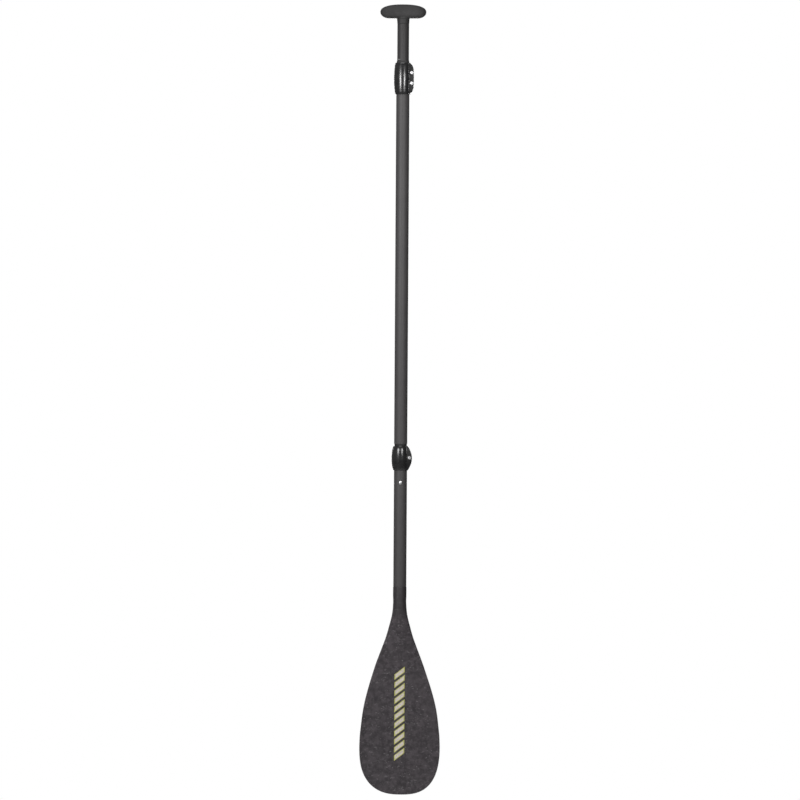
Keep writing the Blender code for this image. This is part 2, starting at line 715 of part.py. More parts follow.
def main():
    for old in list(bpy.data.objects):
        bpy.data.objects.remove(old, do_unlink=True)
    upper, lower = upper_clamp(), lower_clamp()
    build_grip()
    build_handle_shaft()
    build_handle_shaft_plug()
    build_main_shaft(upper)
    build_upper_liner(upper)
    build_clamp(upper)
    build_ferrule()
    build_joint_seal(lower)
    build_button()
    build_button_spring()
    build_clamp(lower)
    build_blade_shaft(lower)
    build_blade_shell()
    build_blade_core()


main()
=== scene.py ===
"""The looks of the adjustable paddle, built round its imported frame.

Shapes are worked out in millimetres and scaled to metres in piece(). As in the frame, +Z runs up the
shaft, -Y is the blade's power face and the side that the camera sees, and +X is the side of the clamp lugs.
"""

import math

import bmesh
import bpy
from mathutils import Matrix, Vector


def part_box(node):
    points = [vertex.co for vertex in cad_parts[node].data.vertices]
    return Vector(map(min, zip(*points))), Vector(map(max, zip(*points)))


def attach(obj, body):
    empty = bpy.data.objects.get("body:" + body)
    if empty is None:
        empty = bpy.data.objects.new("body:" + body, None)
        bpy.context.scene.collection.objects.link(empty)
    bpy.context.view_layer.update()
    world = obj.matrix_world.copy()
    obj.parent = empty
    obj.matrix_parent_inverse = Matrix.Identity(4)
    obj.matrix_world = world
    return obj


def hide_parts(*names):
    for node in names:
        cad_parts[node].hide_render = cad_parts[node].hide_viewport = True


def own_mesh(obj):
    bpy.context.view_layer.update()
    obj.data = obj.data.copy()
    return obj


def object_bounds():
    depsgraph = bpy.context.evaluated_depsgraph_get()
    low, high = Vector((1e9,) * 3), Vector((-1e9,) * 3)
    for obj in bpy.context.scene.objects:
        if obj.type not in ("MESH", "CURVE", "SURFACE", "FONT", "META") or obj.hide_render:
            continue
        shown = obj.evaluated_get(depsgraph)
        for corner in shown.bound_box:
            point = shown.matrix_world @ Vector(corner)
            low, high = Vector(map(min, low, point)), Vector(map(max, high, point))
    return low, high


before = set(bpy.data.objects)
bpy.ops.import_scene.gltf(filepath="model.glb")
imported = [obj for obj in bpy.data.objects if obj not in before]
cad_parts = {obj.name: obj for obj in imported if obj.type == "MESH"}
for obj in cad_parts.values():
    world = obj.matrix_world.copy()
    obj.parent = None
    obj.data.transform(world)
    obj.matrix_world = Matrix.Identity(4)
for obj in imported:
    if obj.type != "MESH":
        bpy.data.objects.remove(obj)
cad_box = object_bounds()

MM = 0.001
ROUND = 144          # segments of tubes and other large turned pieces
SMALL_ROUND = 64     # segments of bolts, pins and the button
GAP = 0.3            # clearance between neighbouring pieces, as in the frame
FAR = 40.0           # outside every piece, measured from the shaft's axis
PAST = 5.0           # how far a cut runs past the end of what it cuts

# Grip. Each pair of powers sets how full an outline stays towards the grip's ends.
GRIP_HALF_WIDTH = 52.4
GRIP_MIDDLE_Z = 14.0
GRIP_CROWN = 17.9
GRIP_BELLY = 15.3
GRIP_HALF_DEPTH = 16.5
CROWN_POWERS = (2.4, 2.4)
BELLY_POWERS = (5.2, 1.8)
DEPTH_POWERS = (2.8, 2.2)
GRIP_TOP_POWER = 2.3
GRIP_UNDER_POWER = 3.2
GRIP_END_SHARE = 0.985   # the slices stop this near to the ends, where they would have no size
COLLAR_TOP_R = 14.1
COLLAR_BOTTOM_R = 13.5
GRIP_SPIGOT_R = 11.4

# Tubes
TUBE_BORE_R = 13.65
FERRULE_BORE_R = 11.85
HANDLE_WALL = 1.63
GROOVE_HALF_WIDTH = 2.5
GROOVE_FLOOR_R = 12.4
SLIT_HALF = 1.5

# Length scale on the handle tube. A mark is its sweep round the tube in degrees and its half height.
SCALE_PITCH = 10.0
SCALE_MARKS = 46
SCALE_START = -93.6
SCALE_ANGLE = 208
LONG_MARK = (32, 0.45)
SHORT_MARK = (16, 0.3)

# Snap button and its spring
BUTTON_FLANGE = 1.4  # how far its flange reaches past its side
BUTTON_FLANGE_THICKNESS = 0.7
BUTTON_DOME = 1.9
SPRING_THICKNESS = 0.6
SPRING_BEND_R = 7.0
SPRING_BEND_DROP = 27.0

# Clamps
EAR_FRONT_Y = -15.0
EAR_BACK_Y = 6.5
EAR_CORNER = 60.0
EAR_BLEND = 150.0
EAR_FADE = 0.45      # share of the ear's thickness that it loses where it is low
BOLT_HEAD_DEPTH = 3.3
BOLT_SHANK_R = 2.0
BOSS_R = 5.0
CAM_RELIEF = 0.35
PIN_PLAY = 0.2
KNUCKLE_SIDE_PLAY = 0.7
KNUCKLE_DEPTH_PLAY = 0.9
RECESS_R = 17.3
RECESS_END_PLAY = 0.5
LEVER_BAND_R = 17.7
LEVER_TIP_ANGLE = 166.0
LEVER_SHOULDER_ANGLE = 76.0
LEVER_SOFT_EDGE = 0.6
RIBS_START, RIBS_END = 138.0, 162.0
RIB_PITCH = 6.0
RIB_HEIGHT = 0.55
LINER_LIP_R = 14.2
LINER_STEP = -103.0
KEY_PLAY = 0.35

# Blade
BLADE_LEAN = math.radians(10.0)
LEAN_START = -1335.0
LEAN_BEND = 60.0
FOIL_START = -1335.0
FOIL_FULL = -1440.0
RIDGE_END = -1545.0
NECK_R = 15.3
NECK_SPIGOT_R = 13.35
NECK_FADE_START, NECK_FADE_END = -1340.0, -1372.0
WIDEST_Z = -1658.6
WIDEST = 91.9
TIP_Z = -1771.2
TIP_POWER = 2.6
BODY_SKEW = 1.6
SKEW_START, SKEW_END = -1450.0, -1600.0
TIP_SKEW = 4.6
TIP_SKEW_START = -1700.0
RIM_HALF = 1.7
HALF_WIDTHS = [(-1290, 15.3), (-1316, 15.25), (-1331, 14.9), (-1358, 17.4), (-1385, 24.0), (-1412, 31.8),
               (-1480, 56.8), (-1563, 81.0), (-1630, 90.4), (WIDEST_Z, WIDEST)]
THICKNESSES = [(-1290, 30.6), (-1316, 30.5), (-1331, 29.8), (-1358, 28.2), (-1385, 24.5), (-1412, 20.5),
               (-1480, 13.6), (-1563, 10.2), (-1658, 7.4), (-1730, 5.6), (TIP_Z, 4.6)]
ACROSS = [math.sin(math.radians(angle)) for angle in range(-90, 91, 2)]  # places across the blade, -1 to 1

# Stripes printed on the blade
STRIPES = 11
STRIPES_X = 0.8
STRIPES_TOP = -1486.0
STRIPE_PITCH = 18.6
STRIPE_HEIGHT = 12.6
STRIPE_HALF_WIDTH = 11.6
STRIPE_SLANT = 9.0
STRIPE_BORDER = 1.9

# Camera and light
LIGHT_DISTANCE = 2.6
GLOW_SIDE = (0.43, 0.13)   # glow of the surroundings, from the left to the right
GLOW_HEIGHT = (-0.6, 0.4)  # heights between which the glow grows,
GLOW_SHARE = (0.35, 1.0)   # from this share to the whole
CAMERA_DISTANCE = 20.0
VIEW_HEIGHT = 1.8224
VIEW_CENTRE = (-0.00216, -0.8693)
VIEW_ROLL = math.radians(0.358)
FLOOR_DROP = 0.60    # the paddle hangs by its grip, clear of the floor even at its longest
FLOOR_HALF = 2.5


# Frame

def corners(node):
    """A CAD node's lowest and highest corners, in millimetres."""
    low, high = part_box(node)
    return low / MM, high / MM


def middle(node):
    """The middle of a CAD node's box, in millimetres."""
    low, high = corners(node)
    return (low + high) / 2


# Mesh helpers

def loft(rings, closed=False):
    """A skin over rings of equal length. Its ends are capped, or joined to each other if it is closed."""
    shape = bmesh.new()
    loops = [[shape.verts.new(point) for point in ring] for ring in rings]
    pairs = list(zip(loops, loops[1:]))
    if closed:
        pairs.append((loops[-1], loops[0]))
    for low, high in pairs:
        for i in range(len(low)):
            j = (i + 1) % len(low)
            shape.faces.new((low[i], low[j], high[j], high[i]))
    if not closed:
        shape.faces.new(loops[0][::-1])
        shape.faces.new(loops[-1])
    bmesh.ops.recalc_face_normals(shape, faces=shape.faces)
    return shape


def circle(radius, z, segments=ROUND, centre=(0.0, 0.0)):
    steps = [math.tau * i / segments for i in range(segments)]
    return [(centre[0] + radius * math.cos(a), centre[1] + radius * math.sin(a), z) for a in steps]


def arc(radius, start, end, steps, centre=(0.0, 0.0)):
    """Points on an arc, with its angles in degrees."""
    angles = [math.radians(start + (end - start) * i / steps) for i in range(steps + 1)]
    return [(centre[0] + radius * math.cos(a), centre[1] + radius * math.sin(a)) for a in angles]


def prism(outline, low, high):
    """An outline of (x, y) points, extruded along Z."""
    return loft([[(x, y, low) for x, y in outline], [(x, y, high) for x, y in outline]])


def box(low, high):
    outline = [(low[0], low[1]), (high[0], low[1]), (high[0], high[1]), (low[0], high[1])]
    return prism(outline, low[2], high[2])


def toward(point, other, width):
    share = min(width / math.dist(point, other), 0.45)
    return tuple(a + (b - a) * share for a, b in zip(point, other))


def soften(points, width, closed=False, steps=5):
    """Rounds the corners of a profile: each curve starts the given width before its corner."""
    result = []
    for i, corner in enumerate(points):
        if not closed and i in (0, len(points) - 1):
            result.append(corner)
            continue
        start = toward(corner, points[i - 1], width)
        end = toward(corner, points[(i + 1) % len(points)], width)
        for step in range(steps + 1):
            t = step / steps
            result.append(tuple((1 - t)**2 * a + 2 * t * (1 - t) * b + t * t * c
                                for a, b, c in zip(start, corner, end)))
    return result


def turned(profile, width, segments=ROUND):
    """A ring about Z, from a closed profile of (radius, z) points whose corners are rounded."""
    rings = [circle(radius, z, segments) for radius, z in soften(profile, width, closed=True)]
    return loft(rings, closed=True)


def turned_solid(profile, segments=ROUND):
    """A solid about Z, from an open profile of (radius, z) points, with flat ends."""
    return loft([circle(radius, z, segments) for radius, z in profile])


def tube(outer, inner, top, end):
    return turned([(outer, top), (outer, end), (inner, end), (inner, top)], 0.4)


def along_y(shape, x, z):
    """Turns a shape made about +Z to lie along +Y, and moves it to the given x and z."""
    bmesh.ops.rotate(shape, verts=shape.verts, matrix=Matrix.Rotation(math.radians(-90), 3, "X"))
    bmesh.ops.translate(shape, verts=shape.verts, vec=(x, 0.0, z))
    return shape


def scratch(shape):
    """A short-lived object for a modifier to work on."""
    mesh = bpy.data.meshes.new("scratch")
    shape.to_mesh(mesh)
    shape.free()
    made = bpy.data.objects.new("scratch", mesh)
    bpy.context.scene.collection.objects.link(made)
    return made


def modified(target, others=()):
    """The evaluated shape of a scratch object, which is then removed with its helpers."""
    graph = bpy.context.evaluated_depsgraph_get()
    mesh = bpy.data.meshes.new_from_object(target.evaluated_get(graph))
    shape = bmesh.new()
    shape.from_mesh(mesh)
    bpy.data.meshes.remove(mesh)
    for used in (target, *others):
        bpy.data.objects.remove(used)
    return shape


def combined(shape, others, operation):
    target = scratch(shape)
    helpers = [scratch(other) for other in others]
    for helper in helpers:
        change = target.modifiers.new("combine", "BOOLEAN")
        change.operation = operation
        change.object = helper
    return modified(target, helpers)


def carved(shape, *cutters):
    return combined(shape, cutters, "DIFFERENCE")


def melted(shape, voxel, rounds):
    """A shape rebuilt as one even skin whose inner and outer corners are softened."""
    target = scratch(shape)
    skin = target.modifiers.new("skin", "REMESH")
    skin.mode = "VOXEL"
    skin.voxel_size = voxel
    ease_off = target.modifiers.new("soften", "SMOOTH")
    ease_off.factor = 0.5
    ease_off.iterations = rounds
    return modified(target)


def ease(value):
    """A smooth step from 0 to 1."""
    value = min(1.0, max(0.0, value))
    return value * value * (3.0 - 2.0 * value)


def through(points, z):
    """A smooth curve through (z, value) points: a cubic Hermite with even tangents."""
    points = sorted(points)
    if z <= points[0][0]:
        return points[0][1]
    if z >= points[-1][0]:
        return points[-1][1]

    def slope(index):
        before = points[max(0, index - 1)]
        after = points[min(len(points) - 1, index + 1)]
        return (after[1] - before[1]) / (after[0] - before[0])

    index = max(i for i, point in enumerate(points) if point[0] <= z)
    (z0, v0), (z1, v1) = points[index], points[index + 1]
    span = z1 - z0
    t = (z - z0) / span
    return ((2 * t**3 - 3 * t**2 + 1) * v0 + (t**3 - 2 * t**2 + t) * span * slope(index)
            + (3 * t**2 - 2 * t**3) * v1 + (t**3 - t**2) * span * slope(index + 1))


def piece(name, shape, finish, body, node=None, sharp=32):
    """A visible piece from a shape in millimetres: it rides on a body and stands for a CAD node."""
    bmesh.ops.scale(shape, verts=shape.verts, vec=(MM, MM, MM))
    mesh = bpy.data.meshes.new(name)
    shape.to_mesh(mesh)
    shape.free()
    mesh.shade_smooth()
    mesh.set_sharp_from_angle(angle=math.radians(sharp))
    mesh.materials.append(finish)
    made = bpy.data.objects.new(name, mesh)
    bpy.context.scene.collection.objects.link(made)
    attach(made, body)
    if node:
        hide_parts(node)
    return made


# Materials

class Finish:
    """A node material with a Principled shader. Its nodes read places on the object, in metres."""

    def __init__(self, name, **sockets):
        self.material = bpy.data.materials.new(name)
        self.material.use_nodes = True
        self.tree = self.material.node_tree
        self.shader = self.tree.nodes["Principled BSDF"]
        for socket, value in sockets.items():
            self.shader.inputs[socket.replace("_", " ")].default_value = value
        self.place = self.tree.nodes.new("ShaderNodeTexCoord").outputs["Object"]

    def link(self, source, target):
        self.tree.links.new(source, target)

    def stretched(self, scale):
        mapping = self.tree.nodes.new("ShaderNodeMapping")
        mapping.inputs["Scale"].default_value = scale
        self.link(self.place, mapping.inputs["Vector"])
        return mapping.outputs["Vector"]

    def noise(self, scale, detail=4.0, rough=0.55, place=None):
        made = self.tree.nodes.new("ShaderNodeTexNoise")
        made.inputs["Scale"].default_value = scale
        made.inputs["Detail"].default_value = detail
        made.inputs["Roughness"].default_value = rough
        self.link(place or self.place, made.inputs["Vector"])
        return made.outputs["Fac"]

    def cells(self, scale, place=None, output="Distance"):
        made = self.tree.nodes.new("ShaderNodeTexVoronoi")
        made.inputs["Scale"].default_value = scale
        self.link(place or self.place, made.inputs["Vector"])
        return made.outputs[output]

    def height(self):
        made = self.tree.nodes.new("ShaderNodeSeparateXYZ")
        self.link(self.place, made.inputs["Vector"])
        return made.outputs["Z"]

    def ramp(self, value, low, high, start=0.0, end=1.0):
        """Maps a value's range from low to high on to start to end."""
        made = self.tree.nodes.new("ShaderNodeMapRange")
        made.interpolation_type = "SMOOTHSTEP"
        made.inputs["From Min"].default_value = low
        made.inputs["From Max"].default_value = high
        made.inputs["To Min"].default_value = start
        made.inputs["To Max"].default_value = end
        self.link(value, made.inputs["Value"])
        return made.outputs["Result"]

    def product(self, first, second):
        made = self.tree.nodes.new("ShaderNodeMath")
        made.operation = "MULTIPLY"
        self.link(first, made.inputs[0])
        self.link(second, made.inputs[1])
        return made.outputs[0]

    def blend(self, share, first, second):
        """A colour between two colours, each given as a socket or as three numbers."""
        made = self.tree.nodes.new("ShaderNodeMixRGB")
        self.link(share, made.inputs["Fac"])
        for socket, colour in (("Color1", first), ("Color2", second)):
            if isinstance(colour, tuple):
                made.inputs[socket].default_value = (*colour, 1.0)
            else:
                self.link(colour, made.inputs[socket])
        return made.outputs["Color"]

    def colour(self, source):
        self.link(source, self.shader.inputs["Base Color"])

    def roughness(self, source):
        self.link(source, self.shader.inputs["Roughness"])

    def bump(self, height, depth, strength=1.0, below=None):
        """Relief of a given depth in metres. It may lie on top of another relief."""
        made = self.tree.nodes.new("ShaderNodeBump")
        made.inputs["Strength"].default_value = strength
        made.inputs["Distance"].default_value = depth
        self.link(height, made.inputs["Height"])
        if below:
            self.link(below, made.inputs["Normal"])
        self.link(made.outputs["Normal"], self.shader.inputs["Normal"])
        return made.outputs["Normal"]


def grip_plastic():
    """Matte moulded plastic with a fine spark-eroded grain, a little polished where hands rub it."""
    finish = Finish("grip_plastic", Specular_IOR_Level=0.36)
    grain = finish.noise(1700, 3.0, 0.6)
    patches = finish.noise(28, 3.0)
    tone = finish.blend(finish.ramp(patches, 0.35, 0.7), (0.014, 0.0135, 0.014), (0.020, 0.0195, 0.020))
    finish.colour(finish.blend(finish.ramp(grain, 0.35, 0.75), tone, (0.030, 0.029, 0.029)))
    finish.roughness(finish.ramp(patches, 0.3, 0.75, 0.74, 0.6))
    finish.bump(grain, 0.00012, 0.6)
    return finish.material


def shaft_composite(name, share, rough):
    """Satin composite tube: fine fibres along it under a sanded clear coat, with specks.

    The share makes all its tones lighter or darker.
    """
    finish = Finish(name)
    fibres = finish.noise(1.0, 5.0, 0.6, finish.stretched((1500, 1500, 60)))
    specks = finish.noise(900, 2.0)
    cloud = finish.noise(9, 3.0)
    tones = ((0.036, 0.034, 0.035), (0.050, 0.047, 0.048), (0.054, 0.051, 0.052), (0.080, 0.076, 0.077))
    dark, light, clouded, speck = (tuple(share * value for value in tone) for tone in tones)
    tone = finish.blend(finish.ramp(fibres, 0.3, 0.72), dark, light)
    tone = finish.blend(finish.ramp(cloud, 0.3, 0.75, 0.0, 0.5), tone, clouded)
    finish.colour(finish.blend(finish.ramp(specks, 0.62, 0.75, 0.0, 0.6), tone, speck))
    finish.roughness(finish.ramp(fibres, 0.25, 0.75, rough - 0.06, rough + 0.06))
    finish.bump(fibres, 0.00004, 0.5)
    return finish.material


def clamp_nylon():
    """Gloss black moulded nylon with a faint flow texture."""
    finish = Finish("clamp_nylon")
    flow = finish.noise(90, 3.0)
    finish.colour(finish.blend(finish.ramp(flow, 0.3, 0.7), (0.008, 0.008, 0.009), (0.014, 0.014, 0.014)))
    finish.roughness(finish.ramp(flow, 0.3, 0.7, 0.23, 0.28))
    return finish.material


def bright_steel():
    """Stainless steel with fine turning marks."""
    finish = Finish("bright_steel", Metallic=1.0)
    marks = finish.noise(2600, 3.0)
    dirt = finish.noise(240, 3.0)
    finish.colour(finish.blend(finish.ramp(dirt, 0.45, 0.75), (0.78, 0.78, 0.79), (0.55, 0.55, 0.56)))
    finish.roughness(finish.ramp(marks, 0.3, 0.7, 0.26, 0.4))
    finish.bump(marks, 0.00002, 0.4)
    return finish.material


def dark_rubber():
    """Matte rubber with fine grain and a little dust."""
    finish = Finish("dark_rubber")
    grain = finish.noise(2200, 3.0)
    dust = finish.noise(60, 4.0)
    finish.colour(finish.blend(finish.ramp(dust, 0.4, 0.75), (0.012, 0.012, 0.012), (0.026, 0.026, 0.026)))
    finish.roughness(finish.ramp(grain, 0.3, 0.7, 0.62, 0.8))
    finish.bump(grain, 0.00008, 0.6)
    return finish.material


def plug_foam():
    """Closed-cell foam: small round cells."""
    finish = Finish("plug_foam")
    cells = finish.cells(900)
    finish.colour(finish.blend(finish.ramp(cells, 0.1, 0.6), (0.20, 0.20, 0.21), (0.31, 0.31, 0.32)))
    finish.roughness(finish.ramp(cells, 0.1, 0.6, 0.9, 0.78))
    finish.bump(cells, 0.0003, 0.8)
    return finish.material


def blade_composite():
    """Charcoal short-fibre composite: mottled, with pale flecks. At the neck it is plainer and darker."""
    finish = Finish("blade_composite")
    mottle = finish.noise(90, 5.0, 0.65)
    cloud = finish.noise(16, 3.0)
    grain = finish.noise(1300, 3.0)
    chips = finish.cells(95, place=finish.stretched((1.0, 1.0, 1.7)), output="Color")
    streaks = finish.noise(1.0, 3.0, 0.6, finish.stretched((180, 180, 330)))
    tone = finish.blend(finish.ramp(mottle, 0.36, 0.66), (0.021, 0.0169, 0.0200), (0.061, 0.0513, 0.0577))
    tone = finish.blend(finish.ramp(cloud, 0.35, 0.75, 0.0, 0.45), tone, (0.055, 0.047, 0.052))
    flecks = finish.product(finish.ramp(streaks, 0.55, 0.68), finish.ramp(chips, 0.35, 0.8))
    tone = finish.blend(flecks, tone, (0.144, 0.134, 0.140))
    tone = finish.blend(finish.ramp(grain, 0.58, 0.8, 0.0, 0.5), tone, (0.090, 0.079, 0.084))
    neck = finish.ramp(finish.height(), NECK_FADE_END * MM, NECK_FADE_START * MM, 0.0, 0.75)
    finish.colour(finish.blend(neck, tone, (0.016, 0.0145, 0.0155)))
    finish.roughness(finish.ramp(mottle, 0.3, 0.7, 0.54, 0.42))
    relief = finish.bump(mottle, 0.00006, 0.4)
    finish.bump(grain, 0.00004, 0.4, below=relief)
    return finish.material


def printed(name, colour, worn):
    """Ink printed on the surface, a little worn."""
    finish = Finish(name)
    wear = finish.noise(420, 4.0, 0.7)
    finish.colour(finish.blend(finish.ramp(wear, 0.4, 0.78), colour, worn))
    finish.roughness(finish.ramp(wear, 0.35, 0.75, 0.34, 0.5))
    return finish.material


def stage_white():
    """A matte pale surface, a little uneven in tone."""
    finish = Finish("stage_white", Roughness=0.9)
    tone = finish.noise(3, 2.0)
    finish.colour(finish.blend(finish.ramp(tone, 0.3, 0.7), (0.72, 0.72, 0.72), (0.75, 0.75, 0.75)))
    return finish.material


grip_finish = grip_plastic()
shaft_finish = shaft_composite("shaft_composite", 0.93, 0.58)
handle_finish = shaft_composite("handle_composite", 0.55, 0.45)
clamp_finish = clamp_nylon()
steel_finish = bright_steel()
rubber_finish = dark_rubber()
foam_finish = plug_foam()
blade_finish = blade_composite()


# Handle

def fullness(reach, inner, outer):
    """Falls from 1 in the middle to 0 at a reach of 1."""
    return (1 - reach**inner) ** (1 / outer)


def grip_section(x):
    """One upright slice of the grip: a rounded shape that is flat where it reaches the underside."""
    steps = 96
    reach = abs(x) / GRIP_HALF_WIDTH
    crown = GRIP_CROWN * fullness(reach, *CROWN_POWERS)
    belly = GRIP_BELLY * fullness(reach, *BELLY_POWERS)
    depth = GRIP_HALF_DEPTH * fullness(reach, *DEPTH_POWERS)
    points = []
    for i in range(steps):
        turn = math.tau * i / steps
        across, up = math.cos(turn), math.sin(turn)
        power, height = (2 / GRIP_TOP_POWER, crown) if up > 0 else (2 / GRIP_UNDER_POWER, belly)
        y = math.copysign(abs(across) ** power, across) * depth
        z = GRIP_MIDDLE_Z + math.copysign(abs(up) ** power, up) * height
        points.append((x, y, max(0.0, z)))
    return points


def build_grip():
    """The palm grip, its neck collar and its spigot, melted into one moulding."""
    stations = 80
    turns = [math.pi * (i / stations - 0.5) * GRIP_END_SHARE for i in range(stations + 1)]
    head = loft([grip_section(GRIP_HALF_WIDTH * math.sin(turn)) for turn in turns])
    low = corners("grip")[0].z
    collar_end = corners("handle_shaft")[1].z + 0.1
    stem = turned_solid([(COLLAR_TOP_R - 1.0, 8.0), (COLLAR_TOP_R + 1.2, 0.6), (COLLAR_TOP_R + 0.3, -0.8),
                         (COLLAR_TOP_R, -2.2), (COLLAR_BOTTOM_R, collar_end), (GRIP_SPIGOT_R, collar_end),
                         (GRIP_SPIGOT_R, low + 2.0), (GRIP_SPIGOT_R - 1.5, low)])
    whole = combined(head, [stem], "UNION")
    moulding = melted(whole, voxel=0.6, rounds=6)
    piece("grip_moulding", moulding, grip_finish, "handle", "grip", sharp=180)


def handle_outline(radius):
    """The handle tube's outline, with the anti-twist groove at the back."""
    edge = math.degrees(math.asin(GROOVE_HALF_WIDTH / radius))
    round_part = arc(radius, 90 + edge, 450 - edge, 132)
    floor = GROOVE_FLOOR_R
    inset = GROOVE_HALF_WIDTH - 0.15
    groove = soften([round_part[-1], (inset, floor), (-inset, floor), round_part[0]], 0.35)
    return round_part[:-1] + groove[:-1]


def build_handle_shaft():
    """The handle tube, with softened edges at its ends."""
    low, high = corners("handle_shaft")
    outline = handle_outline(high.x)
    bore = high.x - HANDLE_WALL
    soft = 0.35

    def ring(shrink, z):
        share = 1 - shrink / high.x
        return [(x * share, y * share, z) for x, y in outline]

    def bore_ring(z):
        return [(bore * x / math.hypot(x, y), bore * y / math.hypot(x, y), z) for x, y in outline]

    rings = [ring(soft, high.z), ring(soft / 3, high.z - soft / 3), ring(0, high.z - soft),
             ring(0, low.z + soft), ring(soft / 3, low.z + soft / 3), ring(soft, low.z), bore_ring(low.z),
             bore_ring(high.z)]
    piece("handle_tube", loft(rings, closed=True), handle_finish, "handle", "handle_shaft")


def build_length_scale():
    """Printed marks down the handle tube, a long one every fifth, for setting the paddle's length."""
    radius = corners("handle_shaft")[1].x
    marks = bmesh.new()
    for i in range(SCALE_MARKS):
        sweep, half_height = LONG_MARK if i % 5 == 0 else SHORT_MARK
        start, end = SCALE_ANGLE, SCALE_ANGLE + sweep
        z = SCALE_START - i * SCALE_PITCH
        outline = arc(radius + 0.05, start, end, 10) + arc(radius - 0.2, end, start, 10)
        mark = prism(outline, z - half_height, z + half_height)
        mesh = bpy.data.meshes.new("mark")
        mark.to_mesh(mesh)
        mark.free()
        marks.from_mesh(mesh)
        bpy.data.meshes.remove(mesh)
    ink = printed("scale_ink", (0.34, 0.34, 0.34), (0.16, 0.16, 0.16))
    piece("length_scale", marks, ink, "handle")


# Main section

def slit(low_z, high_z):
    """A cutter for the slit on the side of the clamp's ear, between two heights."""
    return box((0, -SLIT_HALF, low_z), (FAR, SLIT_HALF, high_z))


def button_radius():
    low, high = corners("spring_button")
    return (high.x - low.x) / 2 - BUTTON_FLANGE


def button_hole():
    radius = button_radius() + GAP
    return along_y(turned_solid([(radius, -FAR), (radius, 0)], SMALL_ROUND), 0, middle("spring_button").z)


def build_tubes():
    """The ferrule, and the two tubes that clamps close: each is slit at its top, from inside its clamp."""
    low, high = corners("main_shaft")
    slit_low = corners("upper_clamp_body")[0].z + PAST
    main = carved(tube(high.y, TUBE_BORE_R, high.z, low.z), slit(slit_low, high.z + PAST))
    piece("main_tube", main, shaft_finish, "main", "main_shaft")

    low, high = corners("main_shaft_ferrule")
    ferrule = carved(tube(high.x, FERRULE_BORE_R, high.z, low.z), button_hole())
    piece("joint_ferrule", ferrule, shaft_finish, "main", "main_shaft_ferrule")

    low, high = corners("blade_shaft")
    slit_low = corners("lower_clamp_body")[0].z + PAST
    lower = carved(tube(high.y, TUBE_BORE_R, high.z, low.z), slit(slit_low, high.z + PAST), button_hole())
    piece("blade_tube", lower, shaft_finish, "blade_section", "blade_shaft")


def build_liner():
    """The split bush on the main tube's end, with the key that runs in the handle tube's groove."""
    low, high = corners("upper_clamp_liner")
    outer = -low.x  # read at -X, because the slit takes away the bush's farthest point at +X
    inner = corners("handle_shaft")[1].x + GAP
    bush = turned([(LINER_LIP_R, high.z), (LINER_LIP_R, LINER_STEP), (outer, LINER_STEP), (outer, low.z),
                   (inner, low.z), (inner, high.z)], 0.5)
    key_half = GROOVE_HALF_WIDTH - KEY_PLAY
    key = box((-key_half, GROOVE_FLOOR_R + KEY_PLAY, low.z + 0.4), (key_half, inner + 0.3, high.z - 1))
    whole = combined(bush, [key], "UNION")
    whole = carved(whole, slit(corners("main_shaft")[1].z - PAST, high.z + PAST))
    piece("clamp_liner", whole, rubber_finish, "main", "upper_clamp_liner")


def build_seal():
    """The thin ring that closes the joint above the lower clamp."""
    low, high = corners("joint_seal_ring")
    outer, inner = high.x, high.x - 0.6
    profile = [(outer, high.z), (outer, low.z), (inner, low.z), (inner, high.z)]
    piece("seal_ring", turned(profile, 0.2), rubber_finish, "main", "joint_seal_ring")


def build_button():
    """A domed pin with a flange behind it, inside the tube."""
    low, high = corners("spring_button")
    radius = button_radius()
    flange_r = radius + BUTTON_FLANGE
    flange_y = high.y - BUTTON_FLANGE_THICKNESS
    turns = [math.radians(angle) for angle in range(0, 86, 6)]
    dome = [(radius * math.cos(turn), low.y + BUTTON_DOME * (1 - math.sin(turn))) for turn in turns]
    profile = soften([(flange_r - 0.5, high.y), (flange_r, high.y), (flange_r, flange_y), (radius, flange_y),
                      dome[0]], 0.25)
    shape = along_y(turned_solid(profile[:-1] + dome, SMALL_ROUND), 0, middle("spring_button").z)
    piece("snap_button", shape, steel_finish, "button", "spring_button")


def build_button_spring():
    """A bent leaf, whose front leg carries the button. It is built in its rest shape only and is not made to
    close up as the button is pressed.
    """
    low, high = corners("button_spring")
    button_z = middle("spring_button").z
    half_thick = SPRING_THICKNESS / 2
    front_y, back_y = low.y + half_thick, high.y - half_thick
    bend = arc(SPRING_BEND_R, 190, 350, 32, (0, button_z - SPRING_BEND_DROP))
    front_leg = soften([(front_y, button_z + 8), (front_y, button_z - 9), bend[0]], 3.0)
    back_leg = soften([bend[-1], (back_y, button_z - 4), (back_y - 1.0, button_z + 6)], 3.0)
    path = front_leg[:-1] + bend + back_leg[1:]
    section = soften([(low.x, -half_thick), (high.x, -half_thick), (high.x, half_thick), (low.x, half_thick)],
                     0.2, closed=True, steps=3)
    rings = []
    for before, (y, z), after in zip(path[:1] + path, path, path[1:] + path[-1:]):
        length = math.dist(before, after)
        out_y, out_z = (before[1] - after[1]) / length, (after[0] - before[0]) / length
        rings.append([(x, y + out_y * out, z + out_z * out) for x, out in section])
    spring = piece("leaf_spring", loft(rings), steel_finish, "main", "button_spring")
    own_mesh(spring)


# Clamps

def upper_radius(place):
    """The barrel's radius at a place along it, from -1 at its end to 1 at its top."""
    return 20.4 - 2.7 * place**2 - 1.5 * abs(place) ** 24


def upper_ear(place):
    """How far the ear reaches from the axis at a place along the clamp."""
    return 25.0 * max(0.0, 1 - abs(place) ** 3.9) ** (1 / 3.9)


def lower_radius(place):
    return 20.6 - 3.2 * place**2 - 1.5 * abs(place) ** 10


def lower_ear(place):
    return 25.9 * (1 - 0.37 * abs(place) ** 1.95)


